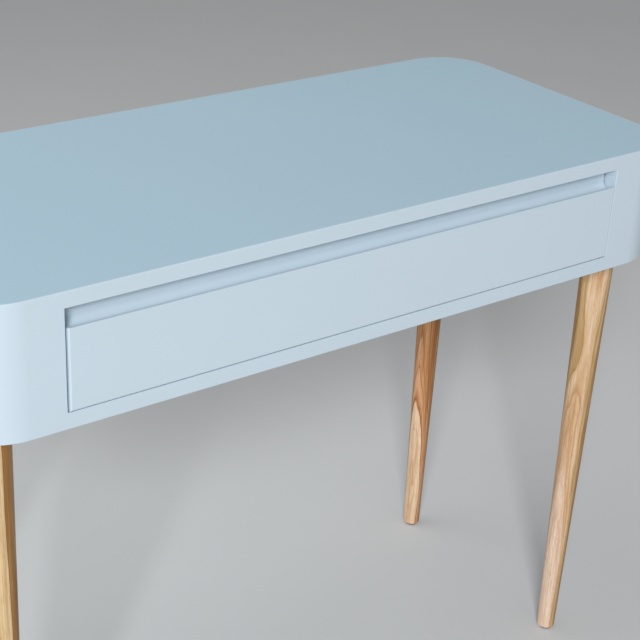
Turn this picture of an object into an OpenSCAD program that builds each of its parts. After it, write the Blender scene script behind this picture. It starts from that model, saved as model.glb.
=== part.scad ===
// Writing desk with one wide drawer. A flat lacquered box with round corners
// stands on four turned legs. The drawer runs on telescopic ball-bearing slides
// and is pulled by a cove cut behind its top edge.
// X runs to the right, Y to the back, Z up. The origin is on the floor, below
// the middle of the desk with its drawer shut.

/* [Desk] */
// Width of the desk, left to right
desk_w = 945; // [880:5:1400]
// Depth of the desk, front to back
desk_d = 425; // [405:5:600]
// Height of the desktop above the floor
desk_h = 750; // [690:5:800]
// Height of the box, from its underside to the desktop
body_h = 148; // [146:1:175]
// Radius of the box's corners, seen from above
corner_r = 69; // [45:1:72]
// Distance from the end of the desk to the drawer opening
stile_w = 108.5; // [105:0.5:180]

/* [Boards] */
// Thickness of the top panel
top_t = 17; // [16:0.5:22]
// Thickness of the bottom panel
base_t = 18.5; // [16:0.5:22]
// Thickness of the bent end shells
shell_t = 18; // [12:0.5:20]
// Thickness of the back panel
back_t = 18; // [12:0.5:20]
// Thickness of the partitions that carry the slides
partition_t = 15; // [12:0.5:18]
// Radius that eases the top and bottom edges of the box
edge_r = 1.2; // [0.6:0.1:2]
// Thickness of the laminate sheet on the desktop
sheet_t = 1; // [0.6:0.1:2]
// Width of the lacquered rim left round the laminate sheet
sheet_rim = 1.5; // [1.4:0.1:6]
// Footprint of a corner block
block_w = 50; // [40:1:56]
// Height of a corner block
block_h = 40; // [25:1:80]

/* [Dowels] */
// Diameter of a carcass dowel
dowel_d = 8; // [6:0.5:9]
// Length of a carcass dowel
dowel_len = 30; // [24:1:36]
// Depth of a carcass dowel in the top or bottom panel
dowel_in = 11; // [8:0.5:13]
// Spacing of the dowels along the back panel
dowel_pitch = 240; // [120:5:300]
// Diameter of a drawer dowel
pin_d = 6; // [4:0.5:7]
// Length of a drawer dowel
pin_len = 26; // [20:1:32]

/* [Legs] */
// Distance from the end of the desk to a leg's axis
leg_in_x = 53; // [50:1:90]
// Distance from the front or the back of the desk to a leg's axis
leg_in_y = 59; // [50:1:90]
// Diameter of a leg at the top
leg_top_d = 41; // [30:0.5:50]
// Diameter of a leg at the foot
leg_foot_d = 24.8; // [22:0.2:30]
// Radius that rounds the foot
foot_r = 3; // [1:0.5:4]
// Side of the square mounting plate
plate_w = 62; // [56:1:68]
// Thickness of the mounting plate
plate_t = 2.5; // [1.5:0.1:4]
// Radius of the plate's corners
plate_r = 6; // [3:0.5:10]
// Diameter of the plate's threaded boss
boss_d = 17; // [14:0.5:20]
// Height of the boss above the plate
boss_h = 8; // [5:0.5:12]
// Spacing of the plate's screws
plate_pitch = 46; // [40:1:48]
// Diameter of the hanger bolt
bolt_d = 8; // [6:0.5:10]
// Depth of the hanger bolt in the leg
bolt_in = 36; // [25:1:50]
// Diameter of a glide
glide_d = 18; // [14:0.5:19]
// Thickness of a glide
glide_t = 2.5; // [1.5:0.1:5]
// Diameter of a glide's nail
nail_d = 2; // [1.5:0.1:3]
// Length of a glide's nail above the glide
nail_len = 13; // [8:1:20]

/* [Drawer front] */
// Thickness of the drawer front
front_t = 30; // [29:0.5:36]
// How far the drawer front stands proud of the box
front_proud = 2; // [0:0.1:4]
// Gap at each end of the drawer front
front_side_gap = 1.8; // [1:0.1:3]
// Gap below the drawer front
front_low_gap = 1.3; // [1:0.1:3]
// Gap above the back of the drawer front
front_head_gap = 2; // [1:0.1:4]
// Height of the finger slot above the lip
finger_gap = 21; // [15:0.5:26]
// Thickness of the lip that the fingers pull
lip_t = 3.4; // [3.1:0.1:6]
// Height of the lip above the bottom of the cove
lip_rise = 6; // [4:0.5:7]
// Radius that eases the front edge of the lip
lip_r = 0.6; // [0.3:0.1:2]
// Radius of the cove behind the lip
pull_r = 8.5; // [7:0.5:9]
// Radius that eases the other edges of the front's face
face_r = 2.4; // [1:0.1:3]

/* [Drawer box] */
// Free space between the drawer box and the back panel
drawer_back_gap = 29; // [10:1:80]
// Height of the drawer box
drawer_h = 80; // [70:1:84]
// Gap between the bottom panel and the drawer box
drawer_lift = 6; // [4:0.5:8]
// Thickness of the drawer box's boards
drawer_t = 12; // [10:0.5:15]
// Thickness of the drawer's bottom sheet
tray_t = 4; // [3:0.5:6]
// Height of the bottom sheet above the drawer box's lower edge
tray_up = 9; // [7:0.5:14]
// Depth of the groove that holds the bottom sheet
groove_in = 5; // [3:0.5:6]
// Width of the batten under the bottom sheet
batten_w = 45; // [30:1:80]

/* [Slides] */
// Height of a slide
slide_h = 45; // [42:0.5:50]
// Thickness of a closed slide
slide_t = 12.7; // [12.2:0.1:14]
// Thickness of the slides' steel
steel_t = 1.2; // [1:0.05:1.3]
// Diameter of a bearing ball
ball_d = 3.2; // [2.8:0.1:3.4]
// Length of a ball cage
cage_len = 120; // [100:5:140]
// Number of balls in each row
ball_count = 8; // [5:1:12]
// Thickness of a ball cage
cage_t = 0.6; // [0.5:0.05:0.7]
// Distance from the end of a slide to its first screw
slide_screw_in = 36; // [20:1:60]

/* [Screws] */
// Shank diameter of a plate screw
plate_screw_d = 4; // [3:0.1:4.5]
// Length of a plate screw
plate_screw_len = 16; // [12:1:17]
// Shank diameter of a slide screw
slide_screw_d = 3.5; // [3:0.1:4]
// Length of a slide screw
slide_screw_len = 10; // [8:0.5:10.5]
// Shank diameter of a drawer front screw
front_screw_d = 4; // [3:0.1:4.5]
// Length of a drawer front screw
front_screw_len = 28; // [22:1:32]
// Head diameter of a screw over its shank diameter
head_ratio = 1.9; // [1.7:0.05:2]

/* [Hidden] */
$fn = 64;
// Clearance round a glued or driven piece
fit = 0.05;
// Clearance between sliding or loosely fitted pieces
slack = 0.3;
// Clearance on each side of a bearing ball
ball_slack = 0.08;
// Extra reach of a cutting shape past the face that it cuts
over = 1;

// Heights of the box's faces
underside_z = desk_h - body_h;
base_z = underside_z + base_t;
ceiling_z = desk_h - top_t;

// Half sizes of the box in plan, and its middle, which lies behind the origin
// by half of what the drawer front stands proud
half_w = desk_w / 2;
half_d = desk_d / 2;
mid_y = front_proud / 2;
opening_x = half_w - stile_w;

// The drawer front
face_y = mid_y - half_d - front_proud;
front_back_y = face_y + front_t;
front_w = 2 * (opening_x - front_side_gap);
front_low_z = base_z + front_low_gap;
front_top_z = ceiling_z - front_head_gap;
lip_z = ceiling_z - finger_gap;
cove_y = face_y + lip_t + sqrt(pull_r * pull_r - (pull_r - lip_rise) * (pull_r - lip_rise));
cove_z = lip_z - lip_rise + pull_r;

// The drawer box
box_x = opening_x - slide_t;
box_z = base_z + drawer_lift;
box_back_y = mid_y + half_d - back_t - drawer_back_gap;
drawer_len = box_back_y - front_back_y;
tray_z = box_z + tray_up;
box_screw_z = [box_z + drawer_h / 4, box_z + drawer_h * 3 / 4];
front_screw_x = 120;

// The slides, measured from the partition's face towards the drawer
slide_setback = 3;
slide_y = front_back_y + slide_setback;
slide_len = drawer_len - slide_setback;
slide_z = box_z + drawer_h / 2;
race_gap = ball_d + 2 * ball_slack;
outer_lip = 1.2;
outer_depth = 9.5;
web_gap = 1.4;
middle_x = steel_t + web_gap;
middle_depth = 8.3;
inner_x = middle_x + steel_t + web_gap;
middle_h = slide_h - 2 * (steel_t + race_gap);
inner_h = middle_h - 2 * (steel_t + race_gap);
bumper_len = 6;
bumper_w = 20;
middle_len = slide_len - bumper_len - slack;
cage_back = 100;

// The legs
leg_z = glide_t;
leg_len = underside_z - plate_t - glide_t;
leg_x = half_w - leg_in_x;
leg_y = mid_y + half_d - leg_in_y;

// Places of the carcass dowels
stile_dowel_in = 20;
corner_dowel_in = 20;
partition_dowel_in = 60;
dowel_places = concat(
    [for (sx = [-1, 1], sy = [-1, 1])
        [sx * (opening_x + stile_dowel_in), mid_y + sy * (half_d - shell_t / 2)]],
    [for (sx = [-1, 1], sy = [-1, 1])
        [sx * (half_w - shell_t / 2), mid_y + sy * (half_d - corner_r - corner_dowel_in)]],
    [for (sx = [-1, 1], sy = [-1, 1])
        [sx * (opening_x + partition_t / 2), mid_y + sy * (half_d - shell_t - partition_dowel_in)]],
    [for (i = [-1:1]) [i * dowel_pitch, mid_y + half_d - back_t / 2]]);

// Places of the drawer box's dowels, on its right side
pin_z = [box_z + drawer_h / 3, box_z + drawer_h - 15];
pin_y = [front_back_y + drawer_t / 2, box_back_y - drawer_t / 2];

// ---- shared shapes ----

// Plan of the box, drawn in by a distance on every side
module plan(inset) {
    r = corner_r - inset;
    w = desk_w - 2 * inset;
    d = desk_d - 2 * inset;
    translate([0, mid_y]) {
        square([w, d - 2 * r], center = true);
        square([w - 2 * r, d], center = true);
        for (sx = [-1, 1], sy = [-1, 1])
            translate([sx * (w / 2 - r), sy * (d / 2 - r)])
                circle(r);
    }
}

// What rounding a square edge takes away, for an edge along the plan's
// outline; the profile's corner is at the outline, z = 0
module edge_waste_profile() {
    difference() {
        translate([-edge_r, -edge_r])
            square(edge_r + over);
        translate([-edge_r, -edge_r])
            circle(edge_r);
    }
}

// The same waste, taken once round the plan's outline
module edge_waste() {
    straight_x = half_w - corner_r;
    straight_y = half_d - corner_r;
    translate([0, mid_y, 0]) {
        for (turn = [0, 180])
            rotate(turn) {
                translate([half_w, straight_y, 0])
                    rotate([90, 0, 0])
                        linear_extrude(2 * straight_y)
                            edge_waste_profile();
                translate([-straight_x, half_d, 0])
                    rotate([90, 0, 90])
                        linear_extrude(2 * straight_x)
                            edge_waste_profile();
            }
        for (sx = [0, 1], sy = [0, 1])
            mirror([sx, 0, 0])
                mirror([0, sy, 0])
                    translate([straight_x, straight_y, 0])
                        rotate_extrude(angle = 90)
                            translate([corner_r, 0])
                                edge_waste_profile();
    }
}

// A countersunk screw that points along +Z, its head's face at z = 0
module screw(d, len) {
    head_r = d / 2 * head_ratio;
    cylinder(h = head_r - d / 2, r1 = head_r, r2 = d / 2);
    cylinder(h = len, d = d);
}

// The hole for that screw
module screw_hole(d, len) {
    head_r = d / 2 * head_ratio + fit;
    translate([0, 0, -over])
        cylinder(h = over, r = head_r);
    cylinder(h = head_r - d / 2, r1 = head_r, r2 = d / 2);
    cylinder(h = len + over, r = d / 2 + fit);
}

// Makes the child on the right, or its mirror image on the left
module on_side(side) {
    mirror([side < 0 ? 1 : 0, 0, 0])
        children();
}

// Makes the child at the rear right leg, or its mirror image at another leg
module at_leg(side, end) {
    mirror([side < 0 ? 1 : 0, 0, 0])
        translate([0, mid_y, 0])
            mirror([0, end < 0 ? 1 : 0, 0])
                translate([0, -mid_y, 0])
                    children();
}

// ---- the box ----

module dowel_holes(low_z, high_z) {
    for (p = dowel_places)
        translate([p.x, p.y, low_z])
            cylinder(h = high_z - low_z, r = dowel_d / 2 + fit);
}

module desktop_sheet() {
    color("#9fb8c6")
        translate([0, 0, desk_h - sheet_t])
            linear_extrude(sheet_t)
                plan(sheet_rim + fit);
}

module top_panel() {
    color("#dfe6ec")
        difference() {
            translate([0, 0, ceiling_z])
                linear_extrude(top_t)
                    plan(0);
            translate([0, 0, desk_h - sheet_t])
                linear_extrude(sheet_t + over)
                    plan(sheet_rim);
            translate([0, 0, desk_h])
                edge_waste();
            dowel_holes(ceiling_z - over, ceiling_z + dowel_in + fit);
        }
}

module bottom_panel() {
    color("#dfe6ec")
        difference() {
            translate([0, 0, underside_z])
                linear_extrude(base_t)
                    plan(0);
            translate([0, 0, underside_z])
                mirror([0, 0, 1])
                    edge_waste();
            dowel_holes(base_z - dowel_in - fit, base_z + over);
            for (side = [-1, 1], end = [-1, 1])
                at_leg(side, end)
                    translate([leg_x, leg_y, underside_z]) {
                        translate([0, 0, -over])
                            cylinder(h = boss_h + slack + over, d = boss_d + 2 * slack);
                        plate_screw_places()
                            cylinder(h = plate_screw_len - plate_t + slack, r = plate_screw_d / 2 + fit);
                    }
        }
}

// A bent shell that wraps round one end of the box
module end_shell(side) {
    color("#dfe6ec")
        on_side(side)
            difference() {
                translate([0, 0, base_z])
                    linear_extrude(ceiling_z - base_z)
                        intersection() {
                            difference() {
                                plan(0);
                                plan(shell_t);
                            }
                            translate([opening_x, mid_y - half_d])
                                square([stile_w, desk_d]);
                        }
                upright_dowel_holes();
            }
}

// The ends of the carcass dowels that stand in the uprights
module upright_dowel_holes() {
    dowel_holes(base_z - over, base_z + dowel_len - dowel_in + fit);
    dowel_holes(ceiling_z - dowel_len + dowel_in - fit, ceiling_z + over);
}

module back_panel() {
    color("#dfe6ec")
        difference() {
            translate([-opening_x + fit, mid_y + half_d - back_t, base_z])
                cube([2 * (opening_x - fit), back_t, ceiling_z - base_z]);
            upright_dowel_holes();
        }
}

module partition(side) {
    color("#e3dccf")
        on_side(side)
            difference() {
                translate([opening_x, mid_y - half_d + shell_t, base_z])
                    cube([partition_t, desk_d - 2 * shell_t, ceiling_z - base_z]);
                upright_dowel_holes();
                outer_screw_places()
                    screw_hole(slide_screw_d, slide_screw_len);
            }
}

module corner_block(side, end) {
    color("#d8b98c")
        at_leg(side, end)
            translate([0, 0, base_z])
                linear_extrude(block_h)
                    intersection() {
                        plan(shell_t + fit);
                        translate([half_w - shell_t - block_w, mid_y + half_d - shell_t - block_w])
                            square(block_w);
                    }
}

module carcass_dowels() {
    color("#d8b98c")
        for (p = dowel_places, z = [base_z - dowel_in, ceiling_z + dowel_in - dowel_len])
            translate([p.x, p.y, z])
                cylinder(h = dowel_len, d = dowel_d);
}

// ---- the legs ----

module leg(side, end) {
    foot_d = leg_foot_d;
    color("#d9a877")
        at_leg(side, end)
            translate([leg_x, leg_y, leg_z])
                difference() {
                    union() {
                        translate([0, 0, foot_r])
                            cylinder(h = leg_len - foot_r, d1 = foot_d, d2 = leg_top_d);
                        rotate_extrude()
                            translate([foot_d / 2 - foot_r, foot_r])
                                circle(foot_r);
                        cylinder(h = 2 * foot_r, d = foot_d - 2 * foot_r);
                    }
                    translate([0, 0, leg_len - bolt_in - slack])
                        cylinder(h = bolt_in + slack + over, r = bolt_d / 2 + fit);
                    translate([0, 0, -over])
                        cylinder(h = nail_len + slack + over, r = nail_d / 2 + fit);
                }
}

// Places of one plate's screws, round the leg's axis at the underside
module plate_screw_places() {
    for (sx = [-1, 1], sy = [-1, 1])
        translate([sx * plate_pitch / 2, sy * plate_pitch / 2, 0])
            children();
}

module leg_plate(side, end) {
    flat = plate_w / 2 - plate_r;
    color("#3b3d40")
        at_leg(side, end)
            translate([leg_x, leg_y, underside_z - plate_t])
                difference() {
                    union() {
                        linear_extrude(plate_t) {
                            square([plate_w, 2 * flat], center = true);
                            square([2 * flat, plate_w], center = true);
                            for (sx = [-1, 1], sy = [-1, 1])
                                translate([sx * flat, sy * flat])
                                    circle(plate_r);
                        }
                        cylinder(h = plate_t + boss_h, d = boss_d);
                    }
                    translate([0, 0, -over])
                        cylinder(h = plate_t + boss_h + 2 * over, r = bolt_d / 2 + fit);
                    plate_screw_places()
                        screw_hole(plate_screw_d, plate_screw_len);
                }
}

module hanger_bolts() {
    color("#b9bdc1")
        for (side = [-1, 1], end = [-1, 1])
            at_leg(side, end)
                translate([leg_x, leg_y, underside_z - plate_t - bolt_in])
                    cylinder(h = bolt_in + plate_t + boss_h, d = bolt_d);
}

module leg_plate_screws() {
    color("#c9c2a8")
        for (side = [-1, 1], end = [-1, 1])
            at_leg(side, end)
                translate([leg_x, leg_y, underside_z - plate_t])
                    plate_screw_places()
                        screw(plate_screw_d, plate_screw_len);
}

module glide(side, end) {
    round_r = glide_t / 3;
    color("#2a2a2c")
        at_leg(side, end)
            translate([leg_x, leg_y, 0]) {
                translate([0, 0, round_r])
                    cylinder(h = glide_t - round_r, d = glide_d);
                rotate_extrude()
                    translate([glide_d / 2 - round_r, round_r])
                        circle(round_r);
                cylinder(h = glide_t, d = glide_d - 2 * round_r);
                cylinder(h = glide_t + nail_len, d = nail_d);
            }
}

// ---- the slides, each drawn on the right ----
// In a slide's own frame, u runs from the partition's face towards the drawer.

// Puts a slide's section, drawn in (u, height), at a depth in the right slide
module slide_bar(y, len) {
    translate([opening_x, y + len, slide_z])
        rotate([90, 0, 0])
            linear_extrude(len)
                mirror([1, 0, 0])
                    children();
}

// A channel's section: a web, two flanges, and a lip on each flange's end
module channel(u, h, depth, lip) {
    translate([u, -h / 2])
        square([steel_t, h]);
    for (up = [0, 1])
        mirror([0, up])
            translate([u, h / 2 - steel_t]) {
                square([depth, steel_t]);
                translate([depth - steel_t, -lip])
                    square([steel_t, lip + steel_t]);
            }
}

// Distances from a slide's front end to its screws
function slide_screw_at() = [slide_screw_in, slide_len / 2, slide_len - slide_screw_in];

// Screws that hold the outer channel, pointing into the partition
module outer_screw_places() {
    for (at = slide_screw_at())
        translate([opening_x - steel_t, slide_y + at, slide_z])
            rotate([0, 90, 0])
                children();
}

// Screws that hold the inner channel, pointing into the drawer's side
module inner_screw_places() {
    for (at = slide_screw_at())
        translate([box_x + steel_t, slide_y + at, slide_z])
            rotate([0, -90, 0])
                children();
}

module slide_outer(side) {
    color("#b4b8bc")
        on_side(side)
            difference() {
                slide_bar(slide_y, slide_len)
                    channel(0, slide_h, outer_depth, outer_lip);
                outer_screw_places()
                    screw_hole(slide_screw_d, slide_screw_len);
            }
}

module slide_outer_screws() {
    color("#c9c2a8")
        for (side = [-1, 1])
            on_side(side)
                outer_screw_places()
                    screw(slide_screw_d, slide_screw_len);
}

module slide_bumper(side) {
    color("#2a2a2c")
        on_side(side)
            slide_bar(slide_y + slide_len - bumper_len, bumper_len)
                translate([steel_t, -bumper_w / 2])
                    square([web_gap + steel_t, bumper_w]);
}

module slide_middle(side) {
    color("#b4b8bc")
        on_side(side)
            slide_bar(slide_y, middle_len)
                channel(middle_x, middle_h, middle_depth, outer_lip);
}

module slide_inner(side) {
    color("#b4b8bc")
        on_side(side)
            difference() {
                slide_bar(slide_y, slide_len)
                    translate([slide_t, 0])
                        mirror([1, 0])
                            channel(0, inner_h, slide_t - inner_x, 0);
                inner_screw_places()
                    screw_hole(slide_screw_d, slide_screw_len);
            }
}

module slide_inner_screws() {
    color("#c9c2a8")
        for (side = [-1, 1])
            on_side(side)
                inner_screw_places()
                    screw(slide_screw_d, slide_screw_len);
}

// A cage's balls run in the gap outside a channel of height h; their centres
// are this high, and this far from the cage's web
function race_z(h) = h / 2 + race_gap / 2;
ball_in = 3.8;

// Places of a cage's balls in the right slide
module ball_places(u, h) {
    for (i = [0:ball_count - 1], up = [-1, 1])
        translate([opening_x - u - ball_in, slide_y + cage_back + cage_len * (i + 0.5) / ball_count,
                slide_z + up * race_z(h)])
            children();
}

module cage(side, u, h, depth) {
    reach = race_z(h) + cage_t / 2;
    color("#8f9499")
        on_side(side)
            difference() {
                slide_bar(slide_y + cage_back, cage_len)
                    difference() {
                        translate([u, -reach])
                            square([depth, 2 * reach]);
                        translate([u + cage_t, cage_t - reach])
                            square([depth, 2 * (reach - cage_t)]);
                    }
                ball_places(u, h)
                    cylinder(h = 2 * cage_t, r = ball_d / 2 + ball_slack, center = true);
            }
}

module balls(side, u, h) {
    color("#d5d8db")
        on_side(side)
            ball_places(u, h)
                sphere(d = ball_d);
}

outer_cage_x = steel_t + (web_gap - cage_t) / 2;
inner_cage_x = middle_x + steel_t + (web_gap - cage_t) / 2;
cage_depth = 6.3;

// ---- the drawer ----

// What easing an edge of the front's face by a radius takes away; the edge
// points to the lower left, and the middle of its round is the origin
module face_waste(r) {
    difference() {
        translate([-r - over, -r - over])
            square(r + over);
        circle(r);
    }
}

// Section of the drawer front in (Y, Z)
module front_section() {
    tall = front_top_z - lip_z + over;
    difference() {
        translate([face_y, front_low_z])
            square([front_t, front_top_z - front_low_z]);
        translate([face_y - over, lip_z])
            square([cove_y - face_y + over, tall]);
        translate([cove_y, cove_z])
            circle(pull_r);
        translate([cove_y, cove_z])
            square([pull_r, tall]);
        translate([face_y + face_r, front_low_z + face_r])
            face_waste(face_r);
        translate([face_y + lip_r, lip_z - lip_r])
            mirror([0, 1])
                face_waste(lip_r);
    }
}

// The drawer front seen from above, in (X, Y)
module front_plan() {
    difference() {
        translate([-front_w / 2, face_y])
            square([front_w, front_t]);
        for (side = [0, 1])
            mirror([side, 0])
                translate([face_r - front_w / 2, face_y + face_r])
                    face_waste(face_r);
    }
}

module drawer_front() {
    color("#dfe6ec")
        difference() {
            intersection() {
                translate([-front_w / 2, 0, 0])
                    rotate([90, 0, 90])
                        linear_extrude(front_w)
                            front_section();
                linear_extrude(front_top_z + over)
                    front_plan();
            }
            front_screw_places()
                cylinder(h = front_screw_len + slack, r = front_screw_d / 2 + fit);
        }
}

// Screws through the drawer box's front, pointing forwards into the drawer front
module front_screw_places() {
    for (side = [-1, 1], at = [front_screw_x, box_x - front_screw_x], z = box_screw_z)
        translate([side * at, front_back_y + drawer_t, z])
            rotate([90, 0, 0])
                children();
}

module drawer_front_screws() {
    color("#c9c2a8")
        front_screw_places()
            screw(front_screw_d, front_screw_len);
}

// The space that the bottom sheet's grooves take out of the drawer's boards
module tray_groove() {
    reach = drawer_t - groove_in;
    translate([-box_x + reach, front_back_y + reach, tray_z - fit])
        cube([2 * (box_x - reach), drawer_len - 2 * reach, tray_t + 2 * fit]);
}

module drawer_pin_holes() {
    for (side = [-1, 1], y = pin_y, z = pin_z)
        on_side(side)
            translate([box_x - drawer_t / 2 - (pin_len - drawer_t / 2) - fit, y, z])
                rotate([0, 90, 0])
                    cylinder(h = pin_len + 2 * fit, r = pin_d / 2 + fit);
}

// A board across the drawer box, from its near face's depth
module cross_board(y) {
    difference() {
        translate([-box_x + drawer_t + fit, y, box_z])
            cube([2 * (box_x - drawer_t - fit), drawer_t, drawer_h]);
        tray_groove();
        drawer_pin_holes();
    }
}

module drawer_box_front() {
    color("#e8e4da")
        difference() {
            cross_board(front_back_y);
            front_screw_places()
                screw_hole(front_screw_d, front_screw_len);
        }
}

module drawer_back() {
    color("#e8e4da")
        cross_board(box_back_y - drawer_t);
}

module drawer_side(side) {
    color("#e8e4da")
        on_side(side)
            difference() {
                translate([box_x - drawer_t, front_back_y, box_z])
                    cube([drawer_t, drawer_len, drawer_h]);
                tray_groove();
                drawer_pin_holes();
                inner_screw_places()
                    screw_hole(slide_screw_d, slide_screw_len);
            }
}

module drawer_bottom() {
    reach = drawer_t - groove_in + slack;
    color("#f0ede6")
        translate([-box_x + reach, front_back_y + reach, tray_z])
            cube([2 * (box_x - reach), drawer_len - 2 * reach, tray_t]);
}

module drawer_batten() {
    color("#d8b98c")
        translate([-batten_w / 2, front_back_y + drawer_t, box_z])
            cube([batten_w, drawer_len - 2 * drawer_t, tray_up - fit]);
}

module drawer_dowels() {
    color("#d8b98c")
        for (side = [-1, 1], y = pin_y, z = pin_z)
            on_side(side)
                translate([box_x - pin_len, y, z])
                    rotate([0, 90, 0])
                        cylinder(h = pin_len, d = pin_d);
}

// ---- every sub-part ----

desktop_sheet();
top_panel();
bottom_panel();
end_shell(-1);  // end_shell_left
end_shell(1);  // end_shell_right
back_panel();
partition(-1);  // partition_left
partition(1);  // partition_right
corner_block(-1, -1);  // corner_block_front_left
corner_block(1, -1);  // corner_block_front_right
corner_block(-1, 1);  // corner_block_rear_left
corner_block(1, 1);  // corner_block_rear_right
carcass_dowels();
leg(-1, -1);  // leg_front_left
leg(1, -1);  // leg_front_right
leg(-1, 1);  // leg_rear_left
leg(1, 1);  // leg_rear_right
leg_plate(-1, -1);  // leg_plate_front_left
leg_plate(1, -1);  // leg_plate_front_right
leg_plate(-1, 1);  // leg_plate_rear_left
leg_plate(1, 1);  // leg_plate_rear_right
hanger_bolts();
leg_plate_screws();
glide(-1, -1);  // glide_front_left
glide(1, -1);  // glide_front_right
glide(-1, 1);  // glide_rear_left
glide(1, 1);  // glide_rear_right
slide_outer(-1);  // slide_outer_left
slide_outer(1);  // slide_outer_right
slide_outer_screws();
slide_bumper(-1);  // slide_bumper_left
slide_bumper(1);  // slide_bumper_right
cage(-1, outer_cage_x, middle_h, cage_depth);  // outer_cage_left
cage(1, outer_cage_x, middle_h, cage_depth);  // outer_cage_right
balls(-1, outer_cage_x, middle_h);  // outer_balls_left
balls(1, outer_cage_x, middle_h);  // outer_balls_right
slide_middle(-1);  // slide_middle_left
slide_middle(1);  // slide_middle_right
cage(-1, inner_cage_x, inner_h, cage_depth);  // inner_cage_left
cage(1, inner_cage_x, inner_h, cage_depth);  // inner_cage_right
balls(-1, inner_cage_x, inner_h);  // inner_balls_left
balls(1, inner_cage_x, inner_h);  // inner_balls_right
slide_inner(-1);  // slide_inner_left
slide_inner(1);  // slide_inner_right
slide_inner_screws();
drawer_front();
drawer_box_front();
drawer_side(-1);  // drawer_side_left
drawer_side(1);  // drawer_side_right
drawer_back();
drawer_bottom();
drawer_batten();
drawer_front_screws();
drawer_dowels();
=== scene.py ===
import math

import bmesh
import bpy
from mathutils import Matrix, Vector


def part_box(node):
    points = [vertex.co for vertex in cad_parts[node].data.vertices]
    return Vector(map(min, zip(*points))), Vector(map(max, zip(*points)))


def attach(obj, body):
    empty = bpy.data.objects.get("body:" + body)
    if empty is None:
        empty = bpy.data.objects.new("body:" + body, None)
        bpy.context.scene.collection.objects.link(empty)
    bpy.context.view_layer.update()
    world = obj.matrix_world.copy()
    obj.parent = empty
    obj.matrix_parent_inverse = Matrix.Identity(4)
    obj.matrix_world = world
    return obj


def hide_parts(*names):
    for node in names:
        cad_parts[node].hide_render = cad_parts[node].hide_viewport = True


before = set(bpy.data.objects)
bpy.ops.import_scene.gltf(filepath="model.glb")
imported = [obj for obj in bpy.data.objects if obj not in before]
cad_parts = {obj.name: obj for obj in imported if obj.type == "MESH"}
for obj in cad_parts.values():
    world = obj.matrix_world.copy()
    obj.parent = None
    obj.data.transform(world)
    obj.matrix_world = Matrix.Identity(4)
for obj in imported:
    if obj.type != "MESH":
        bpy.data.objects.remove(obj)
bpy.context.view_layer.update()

# ---- Camera ----
# The desk is looked down on from beyond its front left corner, with a short
# telephoto lens, so that its near end runs out of the frame.

camera_data = bpy.data.cameras.new("desk_camera")
camera_data.sensor_width = 36.0
camera_data.lens = 82.952
camera_data.shift_x = 0.09375
camera_data.shift_y = 0.00156
camera_spot = (-0.91497, -1.3210, 1.34243)
camera_turn = -34.832
camera_dip = 26.677
camera_roll = 1.915
camera = bpy.data.objects.new("desk_camera", camera_data)
camera.matrix_world = (
    Matrix.Translation(camera_spot)
    @ Matrix.Rotation(math.radians(camera_turn), 4, "Z")
    @ Matrix.Rotation(math.radians(90 - camera_dip), 4, "X")
    @ Matrix.Rotation(math.radians(camera_roll), 4, "Z")
)
bpy.context.scene.collection.objects.link(camera)
bpy.context.scene.camera = camera

# ---- Legs ----
# Four legs turned from solid ash on a lathe: a straight taper from under the
# box to a small rounded foot. They are sanded and oiled, so the grain shows
# its growth rings, darker late wood and fine open pores.


def put(tree, kind, inputs=None, **settings):
    """Adds a node to a tree; an input is a plain value or another node's output."""
    node = tree.nodes.new(kind)
    for name, value in settings.items():
        setattr(node, name, value)
    for key, value in (inputs or {}).items():
        if isinstance(value, bpy.types.NodeSocket):
            tree.links.new(value, node.inputs[key])
        else:
            node.inputs[key].default_value = value
    return node


def new_finish(name):
    """An empty finish: the material, its node tree and its shader."""
    finish = bpy.data.materials.new(name)
    finish.use_nodes = True
    tree = finish.node_tree
    return finish, tree, tree.nodes["Principled BSDF"]


def calc(tree, operation, a, b=0.0, c=0.0):
    """One step of arithmetic on node outputs or plain numbers."""
    return put(tree, "ShaderNodeMath", {0: a, 1: b, 2: c}, operation=operation).outputs[0]


def calc_vector(tree, operation, a, b):
    """One step of arithmetic on vectors."""
    return put(tree, "ShaderNodeVectorMath", {0: a, 1: b}, operation=operation).outputs[0]


def tones(tree, where, stops):
    """A colour ramp through (place, colour) stops."""
    node = put(tree, "ShaderNodeValToRGB", {"Fac": where})
    ramp = node.color_ramp
    while len(ramp.elements) < len(stops):
        ramp.elements.new(1.0)
    for element, (place, tone) in zip(ramp.elements, stops):
        element.position = place
        element.color = (*tone, 1.0)
    return node.outputs["Color"]


def blend_tones(tree, amount, a, b, how="MIX"):
    """Two colours mixed by an amount."""
    node = put(tree, "ShaderNodeMix", {0: amount}, data_type="RGBA", blend_type=how)
    for socket, tone in ((node.inputs[6], a), (node.inputs[7], b)):
        if isinstance(tone, bpy.types.NodeSocket):
            tree.links.new(tone, socket)
        else:
            socket.default_value = (*tone, 1.0)
    return node.outputs[2]


def spread(tree, value, low, high, to_low, to_high):
    """Takes a value from one range to another, held at its ends."""
    node = put(tree, "ShaderNodeMapRange",
               {"Value": value, "From Min": low, "From Max": high, "To Min": to_low, "To Max": to_high})
    return node.outputs["Result"]


def dress(tree, shader, colour, roughness, height, strength, depth):
    """Gives a shader its colour, its roughness and the relief of its surface."""
    bump = put(tree, "ShaderNodeBump", {"Strength": strength, "Distance": depth, "Height": height})
    tree.links.new(colour, shader.inputs["Base Color"])
    tree.links.new(roughness, shader.inputs["Roughness"])
    tree.links.new(bump.outputs["Normal"], shader.inputs["Normal"])


def noise(tree, where, scale, detail=2.0, roughness=0.5):
    """Soft random patches, as many to the metre as the scale says."""
    node = put(tree, "ShaderNodeTexNoise",
               {"Vector": where, "Scale": scale, "Detail": detail, "Roughness": roughness})
    return node.outputs["Fac"]


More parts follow.
